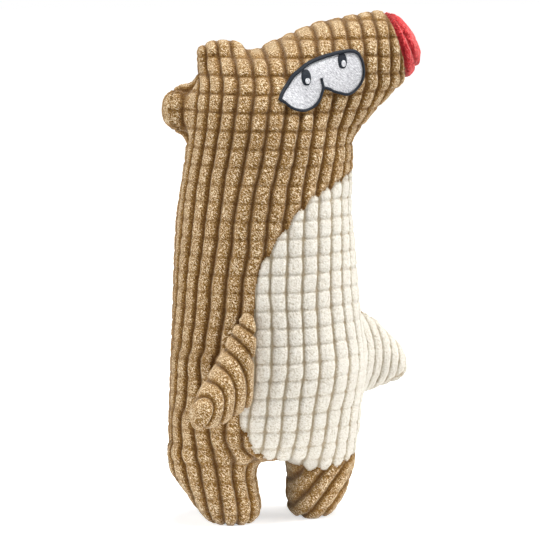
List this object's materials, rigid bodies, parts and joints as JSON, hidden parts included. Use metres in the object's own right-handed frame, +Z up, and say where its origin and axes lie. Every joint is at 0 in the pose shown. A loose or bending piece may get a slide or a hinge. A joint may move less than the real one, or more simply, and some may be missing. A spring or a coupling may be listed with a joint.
{
  "type": "squeaky dog toy",
  "caption": "Stuffed standing animal in wide-wale corduroy with a cream belly, red nose, embroidered eyes, floppy limbs and a squeaker inside.",
  "frame": {"origin": "on the floor, in the middle of the toy's own box", "axes": "+Z up along the toy's height, -Y out of the face and belly, +X towards the nose"},
  "size_m": [0.142, 0.0994, 0.2775],
  "materials": {
    "brown_corduroy": "matte",
    "cream_corduroy": "matte",
    "red_plush": "matte",
    "white_thread": "satin",
    "dark_thread": "satin",
    "fibre_fill": "matte",
    "bulb_plastic": "satin",
    "reed_plastic": "satin"
  },
  "bodies": {
    "torso": {"torso_front_panel": "brown_corduroy", "belly_panel": "cream_corduroy", "torso_back_panel": "brown_corduroy", "torso_front_filling": "fibre_fill", "torso_back_filling": "fibre_fill", "squeaker_cup": "bulb_plastic", "squeaker_pleats": "bulb_plastic", "reed_barrel": "reed_plastic", "reed_plug": "reed_plastic"},
    "squeaker_press": {"squeaker_dome": "bulb_plastic"},
    "reed": {"reed_tongue": "reed_plastic"},
    "head": {"head_front_panel": "brown_corduroy", "head_back_panel": "brown_corduroy", "nose_front_panel": "red_plush", "nose_back_panel": "red_plush", "head_filling": "fibre_fill", "eye_whites": "white_thread", "eye_outline": "dark_thread", "pupil_left": "dark_thread", "pupil_right": "dark_thread"},
    "ear_upper": {"ear_upper_front_panel": "brown_corduroy", "ear_upper_back_panel": "brown_corduroy", "ear_upper_filling": "fibre_fill"},
    "ear_lower": {"ear_lower_front_panel": "brown_corduroy", "ear_lower_back_panel": "brown_corduroy", "ear_lower_filling": "fibre_fill"},
    "arm_left": {"arm_left_front_panel": "brown_corduroy", "arm_left_back_panel": "brown_corduroy", "arm_left_filling": "fibre_fill"},
    "arm_right": {"arm_right_front_panel": "cream_corduroy", "arm_right_back_panel": "brown_corduroy", "arm_right_filling": "fibre_fill"},
    "leg_left": {"leg_left_front_panel": "brown_corduroy", "leg_left_back_panel": "brown_corduroy", "leg_left_filling": "fibre_fill"},
    "leg_right": {"leg_right_front_panel": "brown_corduroy", "leg_right_back_panel": "brown_corduroy", "leg_right_filling": "fibre_fill"}
  },
  "joints": [
    {"name": "neck_nod", "type": "hinge", "parent": "torso", "child": "head", "pos_m": [-0.01558, 0.01023, 0.2], "axis": [1, 0, 0], "range_deg": [-15, 15], "stiffness_Nm_per_rad": 0.6},
    {"name": "ear_upper_flop", "type": "hinge", "parent": "head", "child": "ear_upper", "pos_m": [-0.04006, 0.01023, 0.2586], "axis": [-0.9848, 0, -0.1736], "range_deg": [-25, 25], "stiffness_Nm_per_rad": 0.03},
    {"name": "ear_lower_flop", "type": "hinge", "parent": "head", "child": "ear_lower", "pos_m": [-0.06081, 0.01623, 0.22429], "axis": [0, 0, -1], "range_deg": [-25, 25], "stiffness_Nm_per_rad": 0.03},
    {"name": "arm_left_swing", "type": "hinge", "parent": "torso", "child": "arm_left", "pos_m": [-0.03874, -0.02833, 0.09], "axis": [0, 0, 1], "range_deg": [-10, 30], "stiffness_Nm_per_rad": 0.1},
    {"name": "arm_right_swing", "type": "hinge", "parent": "torso", "child": "arm_right", "pos_m": [0.04236, 0.02467, 0.088], "axis": [0, 0, 1], "range_deg": [-22, 22], "stiffness_Nm_per_rad": 0.1},
    {"name": "leg_left_swing", "type": "hinge", "parent": "torso", "child": "leg_left", "pos_m": [-0.04478, 0.00623, 0.028], "axis": [1, 0, 0], "range_deg": [-20, 20], "stiffness_Nm_per_rad": 1.2},
    {"name": "leg_right_swing", "type": "hinge", "parent": "torso", "child": "leg_right", "pos_m": [0.01642, 0.01323, 0.028], "axis": [1, 0, 0], "range_deg": [-20, 20], "stiffness_Nm_per_rad": 1.2},
    {"name": "squeaker_press", "type": "slide", "parent": "torso", "child": "squeaker_press", "axis": [0, 1, 0], "range_m": [0, 0.008], "stiffness_N_per_m": 400, "deforming": ["squeaker_pleats"]},
    {"name": "reed_flutter", "type": "hinge", "parent": "torso", "child": "reed", "pos_m": [-0.01558, 0.01763, 0.106], "axis": [1, 0, 0], "range_deg": [-5, 5], "stiffness_Nm_per_rad": 0.0002}
  ]
}
